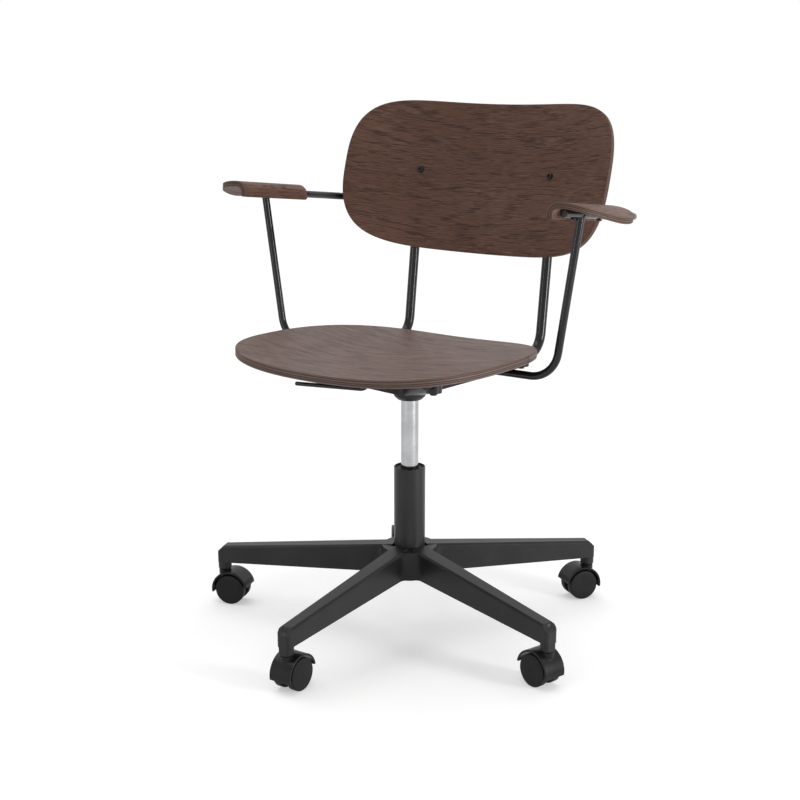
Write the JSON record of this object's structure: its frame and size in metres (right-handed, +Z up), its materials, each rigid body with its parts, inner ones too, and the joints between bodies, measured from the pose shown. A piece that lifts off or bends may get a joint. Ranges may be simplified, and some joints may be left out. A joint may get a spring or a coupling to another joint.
{
  "type": "task chair",
  "caption": "Swivel task chair: moulded plywood seat, backrest and folded armrests on bent steel tube, gas lift column and a cast star base on twin-wheel casters.",
  "frame": {"origin": "on the floor, on the column's axis", "axes": "+Z up; the sitter faces -Y; +X is the sitter's left"},
  "size_m": [0.7058, 0.6268, 0.824],
  "materials": {
    "oak_ply": "dark stained oak veneer, satin lacquer",
    "black_tube": "gloss black powder coat",
    "base_black": "satin black powder coat",
    "column_black": "satin black",
    "bright_steel": "polished steel",
    "brass_cage": "plain",
    "black_plastic": "matte black",
    "black_screw": "black oxide",
    "caster_plastic": "semi-gloss black nylon",
    "wheel_plastic": "matte black nylon"
  },
  "bodies": {
    "base": {"star_base": "base_black", "column_tube": "column_black", "column_guide_bush": "black_plastic", "bearing_race_lower": "bright_steel", "caster_stems": "bright_steel", "caster_stem_rings": "bright_steel"},
    "lift_rod": {"piston_rod": "bright_steel", "piston": "bright_steel", "bearing_race_upper": "bright_steel", "bearing_cage": "brass_cage", "bearing_balls": "bright_steel", "rod_washer": "bright_steel", "rod_clip": "bright_steel"},
    "seat": {"gas_cylinder": "bright_steel", "seat_hub": "base_black", "lever_pin": "bright_steel", "seat_shell": "oak_ply", "backrest_shell": "oak_ply", "back_upright_left": "black_tube", "back_upright_right": "black_tube", "arm_tube_left": "black_tube", "arm_tube_right": "black_tube", "arm_hoop": "black_tube", "armrest_left": "oak_ply", "armrest_right": "oak_ply", "hoop_plugs": "black_plastic", "upright_plugs": "black_plastic", "seat_screws": "black_screw", "backrest_screws": "black_screw", "armrest_screws": "black_screw"},
    "lever": {"height_lever": "column_black"},
    "valve": {"valve_button": "bright_steel"},
    "caster_1": {"caster_1_hood": "caster_plastic", "caster_1_axle": "bright_steel"},
    "wheel_1_left": {"caster_1_wheel_left": "wheel_plastic"},
    "wheel_1_right": {"caster_1_wheel_right": "wheel_plastic"},
    "caster_2": {"caster_2_hood": "caster_plastic", "caster_2_axle": "bright_steel"},
    "wheel_2_left": {"caster_2_wheel_left": "wheel_plastic"},
    "wheel_2_right": {"caster_2_wheel_right": "wheel_plastic"},
    "caster_3": {"caster_3_hood": "caster_plastic", "caster_3_axle": "bright_steel"},
    "wheel_3_left": {"caster_3_wheel_left": "wheel_plastic"},
    "wheel_3_right": {"caster_3_wheel_right": "wheel_plastic"},
    "caster_4": {"caster_4_hood": "caster_plastic", "caster_4_axle": "bright_steel"},
    "wheel_4_left": {"caster_4_wheel_left": "wheel_plastic"},
    "wheel_4_right": {"caster_4_wheel_right": "wheel_plastic"},
    "caster_5": {"caster_5_hood": "caster_plastic", "caster_5_axle": "bright_steel"},
    "wheel_5_left": {"caster_5_wheel_left": "wheel_plastic"},
    "wheel_5_right": {"caster_5_wheel_right": "wheel_plastic"}
  },
  "joints": [
    {"name": "seat_swivel", "type": "hinge", "parent": "base", "child": "lift_rod", "pos_m": [0, 0, 0.08], "axis": [0, 0, 1], "continuous": true},
    {"name": "height_slide", "type": "slide", "parent": "lift_rod", "child": "seat", "axis": [0, 0, 1], "range_m": [-0.06, 0.045]},
    {"name": "lever_tip", "type": "hinge", "parent": "seat", "child": "lever", "pos_m": [-0.02232, -0.00556, 0.4133], "axis": [-0.2419, 0.9703, 0], "range_deg": [0, 7.5], "stiffness_Nm_per_rad": 1.5, "springref_deg": -8.59},
    {"name": "valve_press", "type": "slide", "parent": "seat", "child": "valve", "axis": [0, 0, -1], "range_m": [0, 0.0032]},
    {"name": "caster_1_swivel", "type": "hinge", "parent": "base", "child": "caster_1", "pos_m": [0, -0.323, 0.05], "axis": [0, 0, 1], "continuous": true},
    {"name": "wheel_1_left_spin", "type": "hinge", "parent": "caster_1", "child": "wheel_1_left", "pos_m": [0, -0.309, 0.025], "axis": [1, 0, 0], "continuous": true},
    {"name": "wheel_1_right_spin", "type": "hinge", "parent": "caster_1", "child": "wheel_1_right", "pos_m": [0, -0.309, 0.025], "axis": [1, 0, 0], "continuous": true},
    {"name": "caster_2_swivel", "type": "hinge", "parent": "base", "child": "caster_2", "pos_m": [0.30719, -0.09981, 0.05], "axis": [0, 0, 1], "continuous": true},
    {"name": "wheel_2_left_spin", "type": "hinge", "parent": "caster_2", "child": "wheel_2_left", "pos_m": [0.29388, -0.09549, 0.025], "axis": [0.309, 0.9511, 0], "continuous": true},
    {"name": "wheel_2_right_spin", "type": "hinge", "parent": "caster_2", "child": "wheel_2_right", "pos_m": [0.29388, -0.09549, 0.025], "axis": [0.309, 0.9511, 0], "continuous": true},
    {"name": "caster_3_swivel", "type": "hinge", "parent": "base", "child": "caster_3", "pos_m": [0.18985, 0.26131, 0.05], "axis": [0, 0, 1], "continuous": true},
    {"name": "wheel_3_left_spin", "type": "hinge", "parent": "caster_3", "child": "wheel_3_left", "pos_m": [0.18163, 0.24999, 0.025], "axis": [-0.809, 0.5878, 0], "continuous": true},
    {"name": "wheel_3_right_spin", "type": "hinge", "parent": "caster_3", "child": "wheel_3_right", "pos_m": [0.18163, 0.24999, 0.025], "axis": [-0.809, 0.5878, 0], "continuous": true},
    {"name": "caster_4_swivel", "type": "hinge", "parent": "base", "child": "caster_4", "pos_m": [-0.18985, 0.26131, 0.05], "axis": [0, 0, 1], "continuous": true},
    {"name": "wheel_4_left_spin", "type": "hinge", "parent": "caster_4", "child": "wheel_4_left", "pos_m": [-0.18163, 0.24999, 0.025], "axis": [-0.809, -0.5878, 0], "continuous": true},
    {"name": "wheel_4_right_spin", "type": "hinge", "parent": "caster_4", "child": "wheel_4_right", "pos_m": [-0.18163, 0.24999, 0.025], "axis": [-0.809, -0.5878, 0], "continuous": true},
    {"name": "caster_5_swivel", "type": "hinge", "parent": "base", "child": "caster_5", "pos_m": [-0.30719, -0.09981, 0.05], "axis": [0, 0, 1], "continuous": true},
    {"name": "wheel_5_left_spin", "type": "hinge", "parent": "caster_5", "child": "wheel_5_left", "pos_m": [-0.29388, -0.09549, 0.025], "axis": [0.309, -0.9511, 0], "continuous": true},
    {"name": "wheel_5_right_spin", "type": "hinge", "parent": "caster_5", "child": "wheel_5_right", "pos_m": [-0.29388, -0.09549, 0.025], "axis": [0.309, -0.9511, 0], "continuous": true}
  ],
  "couplings": [
    {"joint": "valve_press", "follows": "lever_tip", "m_per_rad": 0.023}
  ]
}
